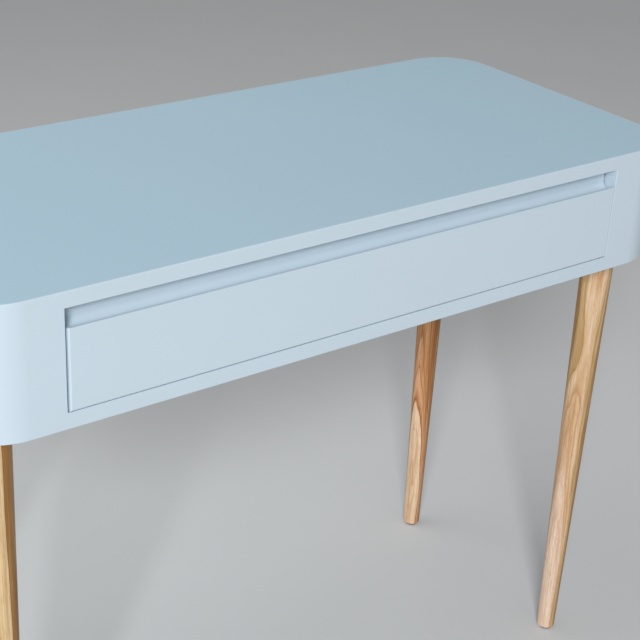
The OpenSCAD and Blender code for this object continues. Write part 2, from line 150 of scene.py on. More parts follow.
def place_on(tree, stretch=(1.0, 1.0, 1.0), middle=(0.0, 0.0, 0.0)):
    """Object coordinates measured from a middle, then stretched along X, Y and Z."""
    place = put(tree, "ShaderNodeTexCoord").outputs["Object"]
    moved = put(tree, "ShaderNodeMapping",
                {"Vector": place, "Location": [-v for v in middle]}, vector_type="POINT").outputs[0]
    return put(tree, "ShaderNodeMapping", {"Vector": moved, "Scale": stretch}, vector_type="POINT").outputs[0]


def oiled_ash(name, axis, pith, wave, crest, half_wave, ring, zones, late_tint, seed):
    """Ash cut across its growth rings: they run round a pith line that lies
    beside the leg's axis and swings to and fro up the leg, which gives arches.
    The zones are (distance from the pith, tone), from the core to the sapwood."""
    finish, tree, shader = new_finish(name)

    def on_leg(stretch, shift=0.0):
        return place_on(tree, stretch, (*axis, shift))

    # The rings wander by a few millimetres and ripple by a few tenths.
    wander = 0.006
    ripple = 0.0006
    drift = put(tree, "ShaderNodeTexNoise",
                {"Vector": on_leg((22.0, 22.0, 5.0), seed), "Scale": 1.0, "Detail": 2.0}).outputs["Color"]
    drift = calc_vector(tree, "SUBTRACT", drift, (0.5, 0.5, 0.5))
    drift = calc_vector(tree, "MULTIPLY", drift, (wander, wander, wander))
    moved = calc_vector(tree, "ADD", on_leg((1.0, 1.0, 1.0)), drift)
    x, y, z = put(tree, "ShaderNodeSeparateXYZ", {0: moved}).outputs
    turn = calc(tree, "MULTIPLY", calc(tree, "SUBTRACT", z, crest), math.pi / half_wave)
    swing = calc(tree, "COSINE", turn)
    off_x = calc(tree, "SUBTRACT", x, calc(tree, "MULTIPLY_ADD", swing, wave[0], pith[0]))
    off_y = calc(tree, "SUBTRACT", y, calc(tree, "MULTIPLY_ADD", swing, wave[1], pith[1]))
    square = calc(tree, "ADD", calc(tree, "MULTIPLY", off_x, off_x), calc(tree, "MULTIPLY", off_y, off_y))
    waver = noise(tree, on_leg((70.0, 70.0, 14.0), seed + 0.3), 1.0, 2.0)
    radius = calc(tree, "ADD", calc(tree, "SQRT", square), spread(tree, waver, 0.2, 0.8, -ripple, ripple))

    # Rings are unevenly wide, and each ends in a band of late wood.
    pace = put(tree, "ShaderNodeTexNoise", {"W": calc(tree, "MULTIPLY", radius, 120.0), "Scale": 1.0},
               noise_dimensions="1D").outputs["Fac"]
    count = calc(tree, "ADD", calc(tree, "DIVIDE", radius, ring), spread(tree, pace, 0.2, 0.8, 0.0, 1.1))
    phase = calc(tree, "FRACT", count)
    year = put(tree, "ShaderNodeTexWhiteNoise", {"W": calc(tree, "ADD", calc(tree, "FLOOR", count), seed)},
               noise_dimensions="1D").outputs["Value"]
    late = calc(tree, "MULTIPLY", calc(tree, "POWER", spread(tree, phase, 0.30, 0.92, 0.0, 1.0), 3.0),
                spread(tree, phase, 0.92, 1.0, 1.0, 0.0))

    nearest = zones[0][0]
    farthest, sapwood = zones[-1]
    depth = spread(tree, radius, nearest, farthest, 0.0, 1.0)
    early_wood = tones(tree, depth, [((far - nearest) / (farthest - nearest), tone) for far, tone in zones])
    lean_year = (0.90, 0.84, 0.76)
    early_wood = blend_tones(tree, calc(tree, "MULTIPLY", year, 0.35), early_wood, lean_year, "MULTIPLY")
    late_wood = blend_tones(tree, 1.0, early_wood, late_tint, "MULTIPLY")
    late = calc(tree, "MULTIPLY", late, spread(tree, radius, zones[-2][0], farthest, 0.95, 0.40))
    wood = blend_tones(tree, late, early_wood, late_wood)

    # Fibres, streaks and pores all run up the leg.
    pore_tone = (0.230, 0.100, 0.040)
    fibre = noise(tree, on_leg((1.0, 1.0, 0.025), seed), 850.0, 3.0, 0.6)
    streak = noise(tree, on_leg((1.0, 1.0, 0.03), seed + 0.5), 230.0, 3.0, 0.6)
    pores = spread(tree, noise(tree, on_leg((1.0, 1.0, 0.07), seed + 0.2), 1300.0, 1.0), 0.58, 0.70, 0.0, 1.0)
    wood = blend_tones(tree, spread(tree, streak, 0.42, 0.70, 0.0, 0.70), wood, late_wood)
    wood = blend_tones(tree, spread(tree, streak, 0.28, 0.45, 0.30, 0.0), wood, sapwood)
    wood = blend_tones(tree, spread(tree, fibre, 0.45, 0.75, 0.0, 0.45), wood, late_wood)
    wood = blend_tones(tree, calc(tree, "MULTIPLY", pores, 0.30), wood, pore_tone)
    shader.inputs["Specular IOR Level"].default_value = 0.25
    height = calc(tree, "SUBTRACT", calc(tree, "MULTIPLY", fibre, 0.4), pores)
    dress(tree, shader, wood, spread(tree, fibre, 0.3, 0.7, 0.36, 0.50), height, 0.35, 0.00012)
    return finish


def fit_piece(piece, body, node):
    """A finished piece rides on its body and stands for its node of the frame."""
    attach(piece, body)
    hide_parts(node)


def middle_of(low, high):
    """The X and Y of the middle of a box."""
    return (low.x + high.x) / 2, (low.y + high.y) / 2


def socket_of(tree, name):
    """The identifier that a modifier knows a tree's named input by."""
    return next(i.identifier for i in tree.interface.items_tree if i.name == name)


def grow(name, source, tree, sizes):
    """Runs a node tree on a source mesh and returns the result as a plain object."""
    holder = bpy.data.objects.new(name + "_source", source)
    bpy.context.scene.collection.objects.link(holder)
    modifier = holder.modifiers.new("grow", "NODES")
    modifier.node_group = tree
    for size, value in sizes.items():
        modifier[socket_of(tree, size)] = value
    bpy.context.view_layer.update()
    ready = holder.evaluated_get(bpy.context.evaluated_depsgraph_get())
    mesh = bpy.data.meshes.new_from_object(ready)
    mesh.name = name
    holder.modifiers.remove(modifier)
    bpy.data.objects.remove(holder)
    piece = bpy.data.objects.new(name, mesh)
    bpy.context.scene.collection.objects.link(piece)
    return piece


def new_tree(name, inputs):
    """An empty geometry tree with named inputs: (name, socket type, value)."""
    tree = bpy.data.node_groups.new(name, "GeometryNodeTree")
    tree.interface.new_socket("Geometry", in_out="INPUT", socket_type="NodeSocketGeometry")
    for label, kind, value in inputs:
        socket = tree.interface.new_socket(label, in_out="INPUT", socket_type=kind)
        if value is not None:
            socket.default_value = value
    tree.interface.new_socket("Geometry", in_out="OUTPUT", socket_type="NodeSocketGeometry")
    return tree, put(tree, "NodeGroupInput").outputs, put(tree, "NodeGroupOutput").inputs


def vector(tree, x=0.0, y=0.0, z=0.0):
    """A place, a size or a turn from its three measures."""
    return put(tree, "ShaderNodeCombineXYZ", {0: x, 1: y, 2: z}).outputs[0]


def end_tree(tree, made, shape, finish):
    """Ends a geometry tree: its instances are made real and the finish is laid on."""
    real = put(tree, "GeometryNodeRealizeInstances", {0: shape})
    real = put(tree, "GeometryNodeSetMaterial", {"Geometry": real.outputs[0], "Material": finish})
    tree.links.new(real.outputs[0], made[0])


def turned_leg_tree():
    """A round bar swept along a vertical line, its radius tapered and its foot rounded."""
    tree, given, made = new_tree("turned_leg", [
        ("Low point", "NodeSocketVector", (0.0, 0.0, 0.0)),
        ("Length", "NodeSocketFloat", 0.6),
        ("Foot radius", "NodeSocketFloat", 0.0124),
        ("Top radius", "NodeSocketFloat", 0.02),
        ("Rounding", "NodeSocketFloat", 0.003),
        ("Finish", "NodeSocketMaterial", None),
    ])
    high = calc_vector(tree, "ADD", given["Low point"], vector(tree, z=given["Length"]))
    line = put(tree, "GeometryNodeCurvePrimitiveLine", {"Start": given["Low point"], "End": high})
    line = put(tree, "GeometryNodeResampleCurve", {"Curve": line.outputs[0], "Count": 241})
    # Points crowd towards the foot, where the rounding needs them.
    crowding = 2.2
    share = put(tree, "GeometryNodeSplineParameter").outputs["Factor"]
    up = calc(tree, "MULTIPLY", calc(tree, "POWER", share, crowding), given["Length"])
    spot = calc_vector(tree, "ADD", given["Low point"], vector(tree, z=up))
    line = put(tree, "GeometryNodeSetPosition", {"Geometry": line.outputs[0], "Position": spot})
    # The radius follows each point's new height.
    here = put(tree, "GeometryNodeInputPosition").outputs[0]
    above = calc_vector(tree, "SUBTRACT", here, given["Low point"])
    height = put(tree, "ShaderNodeSeparateXYZ", {0: above}).outputs[2]
    taper = put(tree, "ShaderNodeMapRange",
                {"Value": height, "From Min": given["Rounding"], "From Max": given["Length"],
                 "To Min": given["Foot radius"], "To Max": given["Top radius"]}).outputs["Result"]
    short = calc(tree, "MAXIMUM", calc(tree, "SUBTRACT", given["Rounding"], height), 0.0)
    flat = calc(tree, "SUBTRACT", calc(tree, "MULTIPLY", given["Rounding"], given["Rounding"]),
                calc(tree, "MULTIPLY", short, short))
    pull = calc(tree, "SUBTRACT", given["Rounding"], calc(tree, "SQRT", calc(tree, "MAXIMUM", flat, 0.0)))
    radius = calc(tree, "SUBTRACT", taper, pull)
    ring = put(tree, "GeometryNodeCurvePrimitiveCircle", {"Resolution": 96, "Radius": 1.0})
    bar = put(tree, "GeometryNodeCurveToMesh",
              {"Curve": line.outputs[0], "Profile Curve": ring.outputs[0], "Scale": radius,
               "Fill Caps": True})
    end_tree(tree, made, bar.outputs[0], given["Finish"])
    return tree


def smooth(piece, angle=35.0):
    """Smooth shading over gentle turns, sharp at the rest, with flat faces kept flat."""
    piece.data.shade_smooth()
    piece.data.set_sharp_from_angle(angle=math.radians(angle))
    weights = piece.modifiers.new("flat_faces", "WEIGHTED_NORMAL")
    weights.keep_sharp = True
    return piece


leg_tree = turned_leg_tree()
# Each leg is cut from its own piece of wood, so its figure and its tones differ.
leg_grain = {
    "front_right": dict(pith=(0.0130, 0.0042), wave=(0.0088, -0.0019), crest=0.0, half_wave=0.60, ring=0.0021,
                        zones=((0.0150, (0.500, 0.290, 0.120)), (0.0238, (0.450, 0.250, 0.090)),
                               (0.0250, (0.620, 0.430, 0.200)), (0.0262, (0.680, 0.470, 0.240)),
                               (0.0272, (0.800, 0.580, 0.380)), (0.0285, (0.780, 0.540, 0.330)),
                               (0.0297, (0.680, 0.430, 0.230)), (0.0303, (0.900, 0.690, 0.530))),
                        late_tint=(0.660, 0.500, 0.360), seed=0.3),
    "rear_right": dict(pith=(0.0160, 0.0076), wave=(0.0066, 0.0031), crest=0.0, half_wave=0.45, ring=0.0019,
                       zones=((0.0070, (0.660, 0.430, 0.230)), (0.0150, (0.480, 0.240, 0.090)),
                              (0.0200, (0.380, 0.160, 0.040)), (0.0270, (0.520, 0.250, 0.090)),
                              (0.0320, (0.820, 0.470, 0.260)), (0.0329, (0.620, 0.290, 0.120)),
                              (0.0333, (0.920, 0.680, 0.460))),
                       late_tint=(0.540, 0.370, 0.240), seed=1.7),
    "front_left": dict(pith=(0.0322, -0.0125), wave=(0.0012, 0.0003), crest=0.25, half_wave=0.50, ring=0.0022,
                       zones=((0.0120, (0.600, 0.390, 0.200)), (0.0200, (0.400, 0.210, 0.065)),
                              (0.0290, (0.460, 0.240, 0.080)), (0.0300, (0.280, 0.130, 0.045)),
                              (0.0306, (0.800, 0.590, 0.340))),
                       late_tint=(0.620, 0.500, 0.360), seed=4.1),
    "rear_left": dict(pith=(-0.0180, 0.0060), wave=(0.0090, -0.0060), crest=0.35, half_wave=0.38, ring=0.0024,
                      zones=((0.0140, (0.500, 0.270, 0.110)), (0.0250, (0.680, 0.440, 0.230)),
                             (0.0262, (0.860, 0.650, 0.450))),
                      late_tint=(0.580, 0.430, 0.300), seed=6.4),
}
foot_radius = 0.0124
foot_rounding = 0.003
for corner, grain in leg_grain.items():
    low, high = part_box("leg_" + corner)
    axis = middle_of(low, high)
    leg = grow("turned_leg_" + corner, bpy.data.meshes.new("leg_line"), leg_tree, {
        "Low point": (*axis, low.z),
        "Length": high.z - low.z,
        "Foot radius": foot_radius,
        "Top radius": (high.x - low.x) / 2,
        "Rounding": foot_rounding,
        "Finish": oiled_ash("oiled_ash_" + corner, axis, **grain),
    })
    fit_piece(smooth(leg), "desk", "leg_" + corner)

# ---- Glides ----
# A moulded nylon disc nailed into the end grain of each foot. It lifts the
# wood off the floor, which leaves a thin dark line of shadow under the foot.
# The disc's near-black tone is painted shade that darkens this line further.


def scaled(tone, share):
    """A tone made darker or lighter by a share."""
    return tuple(share * v for v in tone)


def moulded_nylon(name, tone, gloss):
    """Moulded plastic: a fine spark texture with a slight cloudiness."""
    finish, tree, shader = new_finish(name)
    place = place_on(tree)
    cloud = noise(tree, place, 60.0, 3.0)
    grain = noise(tree, place, 3200.0, 2.0)
    colour = blend_tones(tree, spread(tree, cloud, 0.3, 0.7, 0.0, 1.0), scaled(tone, 0.8), tone)
    dress(tree, shader, colour, spread(tree, cloud, 0.3, 0.7, gloss, gloss + 0.12), grain, 0.3, 0.00008)
    return finish


def as_piece(name, shape, finish):
    """Turns an edited mesh into a smoothly shaded object with its finish."""
    mesh = bpy.data.meshes.new(name)
    shape.to_mesh(mesh)
    shape.free()
    mesh.materials.append(finish)
    piece = bpy.data.objects.new(name, mesh)
    bpy.context.scene.collection.objects.link(piece)
    return smooth(piece)


def skin_between(shape, loops):
    """Faces between each closed loop and the next, which has as many points, and over both ends."""
    for under, over in zip(loops, loops[1:]):
        for i in range(len(under)):
            j = (i + 1) % len(under)
            shape.faces.new((under[i], under[j], over[j], over[i]))
    shape.faces.new(reversed(loops[0]))
    shape.faces.new(loops[-1])


def stacked_rings(name, rings, finish):
    """A closed skin through level rings, capped at both ends."""
    shape = bmesh.new()
    skin_between(shape, [[shape.verts.new(point) for point in ring] for ring in rings])
    bmesh.ops.recalc_face_normals(shape, faces=shape.faces)
    return as_piece(name, shape, finish)


def round_ring(x, y, z, radius, points=64):
    """A level circle."""
    return [(x + radius * math.cos(2 * math.pi * i / points),
             y + radius * math.sin(2 * math.pi * i / points), z) for i in range(points)]


def quarter_turn(steps):
    """The angles of a quarter circle in even steps."""
    return [math.pi / 2 * i / steps for i in range(steps + 1)]


# The glides' near-black tone is painted shade: it darkens the thin line under each foot on top of the lift's
# own shadow.
nylon = moulded_nylon("glide_nylon_painted_shade", (0.035, 0.035, 0.038), 0.45)
disc_thick = 0.0025
disc_ease = disc_thick / 3
disc_arris = 0.0003
nail_radius = 0.001
for corner in leg_grain:
    low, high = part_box("glide_" + corner)
    x, y = middle_of(low, high)
    disc_radius = (high.x - low.x) / 2
    rings = [round_ring(x, y, disc_ease * (1 - math.cos(t)), disc_radius - disc_ease * (1 - math.sin(t)))
             for t in quarter_turn(5)]
    rings += [round_ring(x, y, z, radius) for z, radius in (
        (disc_thick - disc_arris, disc_radius), (disc_thick, disc_radius - disc_arris),
        (disc_thick, nail_radius), (high.z, nail_radius))]
    fit_piece(stacked_rings("nailed_glide_" + corner, rings, nylon), "desk", "glide_" + corner)

# ---- Leg plates and hanger bolts ----
# Pressed steel plates with rounded corners, powder coated black, each with a
# threaded boss let into the bottom panel. A hanger bolt in the leg's end
# screws into the boss.


def rounded_ring(low, high, radius, z, steps=10):
    """A level rectangle with round corners."""
    left, right = low[0] + radius, high[0] - radius
    front, back = low[1] + radius, high[1] - radius
    ring = []
    for x, y, start in ((right, back, 0), (left, back, 90), (left, front, 180), (right, front, 270)):
        for i in range(steps + 1):
            t = math.radians(start + 90 * i / steps)
            ring.append((x + radius * math.cos(t), y + radius * math.sin(t), z))
    return ring


def powder_coat(name, tone):
    """Baked powder paint on steel, with its fine pebbled skin."""
    finish, tree, shader = new_finish(name)
    place = place_on(tree)
    pebble = noise(tree, place, 1400.0, 2.0)
    cloud = noise(tree, place, 45.0, 3.0)
    colour = blend_tones(tree, spread(tree, cloud, 0.3, 0.7, 0.0, 0.5), tone, scaled(tone, 1.7))
    dress(tree, shader, colour, spread(tree, pebble, 0.3, 0.7, 0.38, 0.55), pebble, 0.5, 0.00015)
    return finish


def zinc_plate(name, tone, scale=1.0):
    """Zinc plating on steel: metallic, slightly cloudy, with faint draw marks along Y."""
    finish, tree, shader = new_finish(name)
    shader.inputs["Metallic"].default_value = 1.0
    cloud = noise(tree, place_on(tree), 70.0 * scale, 3.0)
    marks = noise(tree, place_on(tree, (1.0, 0.02, 1.0)), 2600.0 * scale, 2.0, 0.6)
    colour = blend_tones(tree, spread(tree, cloud, 0.3, 0.7, 0.0, 1.0), scaled(tone, 0.78), tone)
    rough = calc(tree, "ADD", spread(tree, marks, 0.3, 0.7, 0.24, 0.34),
                 spread(tree, cloud, 0.3, 0.7, 0.0, 0.1))
    dress(tree, shader, colour, rough, marks, 0.15, 0.00004)
    return finish


def paint_node(node, finish):
    """Gives a node of the frame its finish."""
    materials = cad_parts[node].data.materials
    materials.clear()
    materials.append(finish)


black_plate = powder_coat("plate_powder_coat", (0.020, 0.020, 0.022))
plate_thick = 0.0025
plate_corner = 0.006
plate_ease = 0.0006
plate_arris = 0.0002
for corner in leg_grain:
    low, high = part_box("leg_plate_" + corner)
    rings = []
    for inset, up in ((plate_ease, 0.0), (plate_ease * 0.3, plate_ease * 0.3), (0.0, plate_ease),
                      (0.0, plate_thick - plate_arris), (plate_arris, plate_thick)):
        rings.append(rounded_ring((low.x + inset, low.y + inset), (high.x - inset, high.y - inset),
                                  plate_corner - inset, low.z + up))
    plate = stacked_rings("leg_plate_" + corner + "_pressed", rings, black_plate)
    fit_piece(plate, "desk", "leg_plate_" + corner)

paint_node("hanger_bolts", zinc_plate("bolt_zinc", (0.62, 0.63, 0.65)))

# ---- Leg plate screws ----
# Four countersunk wood screws to a plate, with cross recesses, yellow zinc
# plated. They go up into the bottom panel.


def countersunk_screw_tree():
    """A cross-recess screw set at every point, driven along the point's own direction."""
    tree, given, made = new_tree("countersunk_screw", [
        ("Shank radius", "NodeSocketFloat", 0.002),
        ("Head radius", "NodeSocketFloat", 0.0038),
        ("Screw length", "NodeSocketFloat", 0.016),
        ("Recess", "NodeSocketFloat", 0.0012),
        ("Seed", "NodeSocketInt", 7),
        ("Finish", "NodeSocketMaterial", None),
    ])
    neck = calc(tree, "SUBTRACT", given["Head radius"], given["Shank radius"])
    head = put(tree, "GeometryNodeMeshCone",
               {"Vertices": 32, "Radius Top": given["Shank radius"], "Radius Bottom": given["Head radius"],
                "Depth": neck})
    body = calc(tree, "SUBTRACT", given["Screw length"], neck)
    shank = put(tree, "GeometryNodeMeshCylinder",
                {"Vertices": 20, "Radius": given["Shank radius"], "Depth": body})
    lift = calc(tree, "ADD", neck, calc(tree, "MULTIPLY", body, 0.5))
    shank = put(tree, "GeometryNodeTransform",
                {"Geometry": shank.outputs[0], "Translation": vector(tree, z=lift)})
    # Two crossed bars, half sunk in the head, cut its recess.
    wing = calc(tree, "MULTIPLY", given["Head radius"], 1.15)
    slit = calc(tree, "MULTIPLY", given["Head radius"], 0.24)
    deep = calc(tree, "MULTIPLY", given["Recess"], 2.0)
    bars = put(tree, "GeometryNodeJoinGeometry")
    for x, y in ((wing, slit), (slit, wing)):
        bar = put(tree, "GeometryNodeMeshCube", {"Size": vector(tree, x, y, deep)})
        tree.links.new(bar.outputs[0], bars.inputs[0])
    cut = put(tree, "GeometryNodeMeshBoolean",
              {"Mesh 1": head.outputs[0], "Mesh 2": bars.outputs[0], "Self Intersection": True},
              operation="DIFFERENCE", solver="EXACT")
    screw = put(tree, "GeometryNodeJoinGeometry")
    tree.links.new(cut.outputs[0], screw.inputs[0])
    tree.links.new(shank.outputs[0], screw.inputs[0])
    drive = put(tree, "GeometryNodeInputNamedAttribute", {"Name": "drive"}, data_type="FLOAT_VECTOR")
    aim = put(tree, "FunctionNodeAlignRotationToVector", {"Vector": drive.outputs[0]}, axis="Z")
    spin = put(tree, "FunctionNodeRandomValue", {2: 0.0, 3: 1.57, "Seed": given["Seed"]}, data_type="FLOAT")
    twist = put(tree, "FunctionNodeEulerToRotation", {0: vector(tree, z=spin.outputs[1])})
    both = put(tree, "FunctionNodeRotateRotation",
               {"Rotation": aim.outputs[0], "Rotate By": twist.outputs[0]}, rotation_space="LOCAL")
    places = put(tree, "GeometryNodeInstanceOnPoints",
                 {"Points": given["Geometry"], "Instance": screw.outputs[0], "Rotation": both.outputs[0]})
    end_tree(tree, made, places.outputs[0], given["Finish"])
    return tree


screw_tree = countersunk_screw_tree()
yellow_zinc = zinc_plate("screw_yellow_zinc", (0.70, 0.62, 0.42), 2.0)


def drive_screws(name, body, node, spots, shank, head, length, recess, seed):
    """Screws of one kind at spots, which are (place, direction to drive in), fitted as one piece."""
    mesh = bpy.data.meshes.new(name + "_spots")
    mesh.from_pydata([place for place, direction in spots], [], [])
    drive = mesh.attributes.new("drive", "FLOAT_VECTOR", "POINT")
    drive.data.foreach_set("vector", [v for place, direction in spots for v in direction])
    screws = grow(name, mesh, screw_tree, {
        "Shank radius": shank, "Head radius": head, "Screw length": length, "Recess": recess,
        "Seed": seed, "Finish": yellow_zinc,
    })
    fit_piece(smooth(screws), body, node)


plate_pitch = 0.046
spots = []
for corner in leg_grain:
    low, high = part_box("leg_plate_" + corner)
    x, y = middle_of(low, high)
    spots += [((x + right * plate_pitch / 2, y + back * plate_pitch / 2, low.z), (0, 0, 1))
              for right in (-1, 1) for back in (-1, 1)]
drive_screws("plate_screws_set", "desk", "leg_plate_screws", spots,
             shank=0.002, head=0.0038, length=0.016, recess=0.0012, seed=11)

# ---- Bottom panel ----
# Medium density fibreboard, cut to the desk's outline with a router, its
# lower edge eased and everything sprayed with satin white lacquer.


def white_lacquer(name, tone, gloss=0.36):
    """Sprayed satin lacquer: faint orange peel, soft cloudiness and a few dull patches."""
    finish, tree, shader = new_finish(name)
    place = place_on(tree)
    broad = noise(tree, place, 5.0, 3.0)
    peel = noise(tree, place, 420.0, 2.0, 0.45)
    dust = noise(tree, place, 2200.0, 1.0)
    warm = tuple(v * k for v, k in zip(tone, (0.985, 0.982, 0.972)))
    colour = blend_tones(tree, spread(tree, broad, 0.3, 0.7, 0.0, 1.0), tone, warm)
    rough = calc(tree, "ADD", spread(tree, broad, 0.3, 0.7, gloss - 0.03, gloss + 0.04),
                 spread(tree, dust, 0.4, 0.7, 0.0, 0.03))
    shader.inputs["Coat Weight"].default_value = 0.15
    shader.inputs["Coat Roughness"].default_value = 0.22
    height = calc(tree, "ADD", peel, calc(tree, "MULTIPLY", dust, 0.15))
    dress(tree, shader, colour, rough, height, 0.10, 0.00012)
    return finish


lacquer = white_lacquer("satin_white_lacquer", (0.590, 0.690, 0.765))
corner_radius = 0.069
edge_ease = 0.0012
corner_steps = 20


def plan_ring(low, high, inset, z, radius=corner_radius):
    """The outline of a panel with the desk's round corners, drawn in by an inset."""
    return rounded_ring((low.x + inset, low.y + inset), (high.x - inset, high.y - inset),
                        radius - inset, z, corner_steps)


low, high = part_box("bottom_panel")
rings = [plan_ring(low, high, edge_ease * (1 - math.sin(t)), low.z + edge_ease * (1 - math.cos(t)))
         for t in quarter_turn(6)]
rings.append(plan_ring(low, high, 0.0, high.z))
bottom = stacked_rings("bottom_panel_lacquered", rings, lacquer)
fit_piece(bottom, "desk", "bottom_panel")

# ---- End shells ----
# One bent shell wraps each end of the box and turns in at the front as the
# stile beside the drawer. It is kerfed and glued round the corner, then
# lacquered with the panels, so that no joint shows.


def drawn_out(outline, run):
    """A closed outline drawn out along a straight run, still open to edits."""
    shape = bmesh.new()
    face = shape.faces.new([shape.verts.new(point) for point in outline])
    drawn = bmesh.ops.extrude_face_region(shape, geom=[face])
    bmesh.ops.translate(shape, vec=run, verts=[v for v in drawn["geom"] if isinstance(v, bmesh.types.BMVert)])
    bmesh.ops.recalc_face_normals(shape, faces=shape.faces)
    return shape


def sharp_edges(shape, angle):
    """The edges at which the surface turns by more than an angle."""
    return [e for e in shape.edges if e.is_manifold and e.calc_face_angle(0.0) > math.radians(angle)]


def ease_edges(shape, edges, ease):
    """Rounds edges over."""
    bmesh.ops.bevel(shape, geom=edges, offset=ease, segments=3, profile=0.5, affect="EDGES",
                    clamp_overlap=True)


def upright_board(name, outline, low_z, high_z, finish, ease):
    """A closed outline in plan raised from one height to another, with its sharp upright edges eased."""
    shape = drawn_out([(x, y, low_z) for x, y in outline], (0, 0, high_z - low_z))
    upright = [e for e in sharp_edges(shape, 50) if abs(e.verts[0].co.z - e.verts[1].co.z) > 1e-6]
    ease_edges(shape, upright, ease)
    return as_piece(name, shape, finish)


shell_thick = 0.018
shell_ease = 0.0009
for side, name in ((-1, "left"), (1, "right")):
    low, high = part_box("end_shell_" + name)
    near = low.x if side > 0 else high.x
    far = high.x if side > 0 else low.x
    outline = []
    for inset, order in ((0.0, 1), (shell_thick, -1)):
        bend = corner_radius - inset
        wall = []
        x = abs(far) - corner_radius
        for y, start in ((low.y + corner_radius, 270), (high.y - corner_radius, 0)):
            turns = [math.radians(start + 90 * i / corner_steps) for i in range(corner_steps + 1)]
            wall += [(x + bend * math.cos(t), y + bend * math.sin(t)) for t in turns]
        wall = [(abs(near), low.y + inset)] + wall + [(abs(near), high.y - inset)]
        outline += wall[::order]
    outline = [(side * x, y) for x, y in outline]
    shell = upright_board("end_shell_" + name + "_lacquered", outline, low.z, high.z, lacquer, shell_ease)
    fit_piece(shell, "desk", "end_shell_" + name)

# ---- Back panel ----
# A flat board between the ends of the two shells. Its upright edges are
# broken with a sanding block, which leaves two hairlines in the lacquer.

low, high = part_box("back_panel")
outline = [(low.x, low.y), (high.x, low.y), (high.x, high.y), (low.x, high.y)]
back_ease = 0.0005
back = upright_board("back_panel_lacquered", outline, low.z, high.z, lacquer, back_ease)
fit_piece(back, "desk", "back_panel")

# ---- Partitions, corner blocks and dowels ----
# Inside the box stand two partitions of white sealed fibreboard that carry the
# slides. Beech blocks are glued over the legs, and beech dowels join the
# uprights to the panels.


def fibreboard(name, tone):
    """Sanded and sealed fibreboard: fine felted flecks."""
    finish, tree, shader = new_finish(name)
    place = place_on(tree)
    fleck = noise(tree, place, 1100.0, 3.0, 0.7)
    cloud = noise(tree, place, 12.0, 3.0)
    board = blend_tones(tree, spread(tree, fleck, 0.35, 0.65, 0.0, 0.6), tone, scaled(tone, 0.72))
    board = blend_tones(tree, spread(tree, cloud, 0.3, 0.7, 0.0, 0.3), board, scaled(tone, 1.12))
    dress(tree, shader, board, spread(tree, fleck, 0.3, 0.7, 0.62, 0.78), fleck, 0.25, 0.0001)
    return finish


def plain_beech(name, along):
    """Unfinished beech with its short dark rays; along says which way the grain runs."""
    finish, tree, shader = new_finish(name)
    rays = noise(tree, place_on(tree, along), 800.0, 2.0, 0.6)
    band = noise(tree, place_on(tree, along), 90.0, 3.0)
    pale, deep, ray_tone = (0.640, 0.430, 0.255), (0.520, 0.330, 0.180), (0.330, 0.180, 0.085)
    wood = blend_tones(tree, spread(tree, band, 0.3, 0.7, 0.0, 1.0), pale, deep)
    wood = blend_tones(tree, spread(tree, rays, 0.58, 0.70, 0.0, 0.5), wood, ray_tone)
    dress(tree, shader, wood, spread(tree, rays, 0.3, 0.7, 0.55, 0.70), rays, 0.25, 0.0001)
    return finish


board = fibreboard("white_sealed_fibreboard", (0.600, 0.660, 0.710))
beech_across = plain_beech("beech_across", (0.06, 1.0, 1.0))
beech_deep = plain_beech("beech_front_to_back", (1.0, 0.06, 1.0))
beech_up = plain_beech("beech_upright", (1.0, 1.0, 0.06))
for name in ("left", "right"):
    paint_node("partition_" + name, board)
for corner in leg_grain:
    paint_node("corner_block_" + corner, beech_up)
paint_node("carcass_dowels", beech_up)

# ---- Top panel ----
# The lid of the box, routed from fibreboard and lacquered like it. A shallow
# bed is cut in its upper face, which leaves a narrow lacquered rim.

low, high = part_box("top_panel")
rim = 0.0015
rim_arris = 0.0001
bed = 0.001
rings = [plan_ring(low, high, 0.0, low.z)]
rings += [plan_ring(low, high, edge_ease * (1 - math.cos(t)), high.z - edge_ease * (1 - math.sin(t)))
          for t in quarter_turn(6)]
rings += [plan_ring(low, high, rim - rim_arris, high.z), plan_ring(low, high, rim, high.z - rim_arris),
          plan_ring(low, high, rim, high.z - bed)]
top = stacked_rings("top_panel_lacquered", rings, lacquer)
fit_piece(top, "desk", "top_panel")

# ---- Desktop sheet ----
# A sheet of matte laminate in a pale blue grey, glued into the bed flush
# with the rim. Its face has a fine suede texture and its edge is scraped.


def matte_laminate(name, tone):
    """Matte laminate: a suede micro texture, small flecks and a slow drift of tone."""
    finish, tree, shader = new_finish(name)
    place = place_on(tree)
    drift = noise(tree, place, 2.3, 2.0)
    suede = noise(tree, place, 1900.0, 2.0, 0.6)
    fleck = noise(tree, place, 300.0, 3.0, 0.65)
    cool = tuple(v * k for v, k in zip(tone, (0.955, 0.985, 0.990)))
    sheet = blend_tones(tree, spread(tree, drift, 0.35, 0.65, 0.0, 1.0), tone, cool)
    sheet = blend_tones(tree, spread(tree, fleck, 0.35, 0.70, 0.0, 0.10), sheet, scaled(tone, 0.80))
    sheet = blend_tones(tree, spread(tree, suede, 0.40, 0.65, 0.0, 0.10), sheet, scaled(tone, 1.15))
    shader.inputs["Specular IOR Level"].default_value = 0.40
    height = calc(tree, "ADD", suede, calc(tree, "MULTIPLY", fleck, 0.4))
    dress(tree, shader, sheet, spread(tree, fleck, 0.3, 0.7, 0.50, 0.60), height, 0.22, 0.00006)
    return finish


low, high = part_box("desktop_sheet")
scrape = 0.00012
rings = [plan_ring(low, high, inset, z, corner_radius - rim)
         for inset, z in ((0.0, low.z), (0.0, high.z - scrape), (scrape, high.z))]
sheet = stacked_rings("desktop_laminate", rings, matte_laminate("blue_grey_laminate", (0.472, 0.627, 0.724)))
fit_piece(sheet, "desk", "desktop_sheet")

# ---- Drawer slides ----
# A pair of full-extension ball-bearing slides, rolled from zinc-plated strip:
# an outer member on the partition, an inner one on the drawer, and between
# them a middle one that runs half as far. Cages hold the balls in rows.


